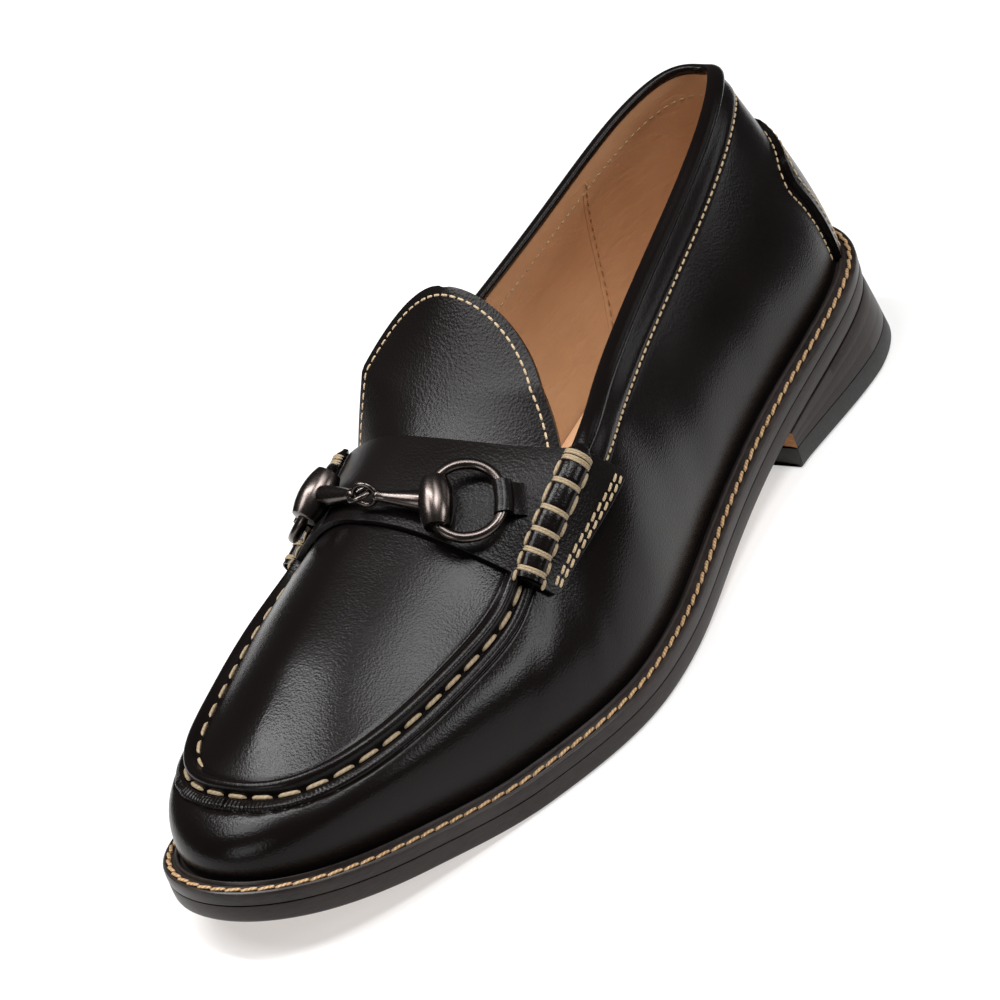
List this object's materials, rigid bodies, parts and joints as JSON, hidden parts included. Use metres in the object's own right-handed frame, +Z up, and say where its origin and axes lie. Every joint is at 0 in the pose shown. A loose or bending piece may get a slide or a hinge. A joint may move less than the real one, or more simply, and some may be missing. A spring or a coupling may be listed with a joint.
{
  "type": "loafer",
  "caption": "Slip-on leather loafer for the left foot: stitched moccasin apron, saddle strap with rolled ends, linked metal bit, welted sole and stacked heel.",
  "frame": {"origin": "on the floor, under the middle of the shoe's box", "axes": "+X to the outer (lateral) side, toe towards -Y, heel towards +Y, +Z up"},
  "size_m": [0.1058, 0.3028, 0.1006],
  "materials": {
    "calf": "smooth black calf, satin polish",
    "welt_leather": "dyed and burnished",
    "sole_leather": "dyed edge, waxed",
    "stacked_leather": "stacked layers, waxed",
    "lift_rubber": "matt",
    "insole_leather": "natural tan, matt",
    "lining_leather": "tan lining, matt",
    "waxed_thread": "waxed linen thread",
    "gunmetal": "polished dark nickel"
  },
  "bodies": {
    "shoe": {"outsole": "sole_leather", "welt": "welt_leather", "heel_block": "stacked_leather", "heel_top_lift": "lift_rubber", "insole": "insole_leather", "upper": "calf", "tongue": "calf", "saddle_strap": "calf", "beef_roll_lateral": "calf", "beef_roll_medial": "calf", "heel_counter": "calf", "ring_keeper_lateral": "calf", "ring_keeper_medial": "calf"},
    "lateral_bit": {"bit_lateral": "gunmetal"},
    "medial_bit": {"bit_medial": "gunmetal"}
  },
  "joints": [
    {"name": "lateral_bit_lift", "type": "hinge", "parent": "shoe", "child": "lateral_bit", "pos_m": [0.02996, -0.04106, 0.06711], "axis": [-0.3951, 0.7492, 0.5316], "range_deg": [0, 4]},
    {"name": "medial_bit_lift", "type": "hinge", "parent": "shoe", "child": "medial_bit", "pos_m": [-0.03535, -0.0432, 0.05899], "axis": [-0.1344, -0.9098, -0.3928], "range_deg": [0, 4]}
  ],
  "couplings": [
    {"joint": "medial_bit_lift", "follows": "lateral_bit_lift", "ratio": 1}
  ]
}
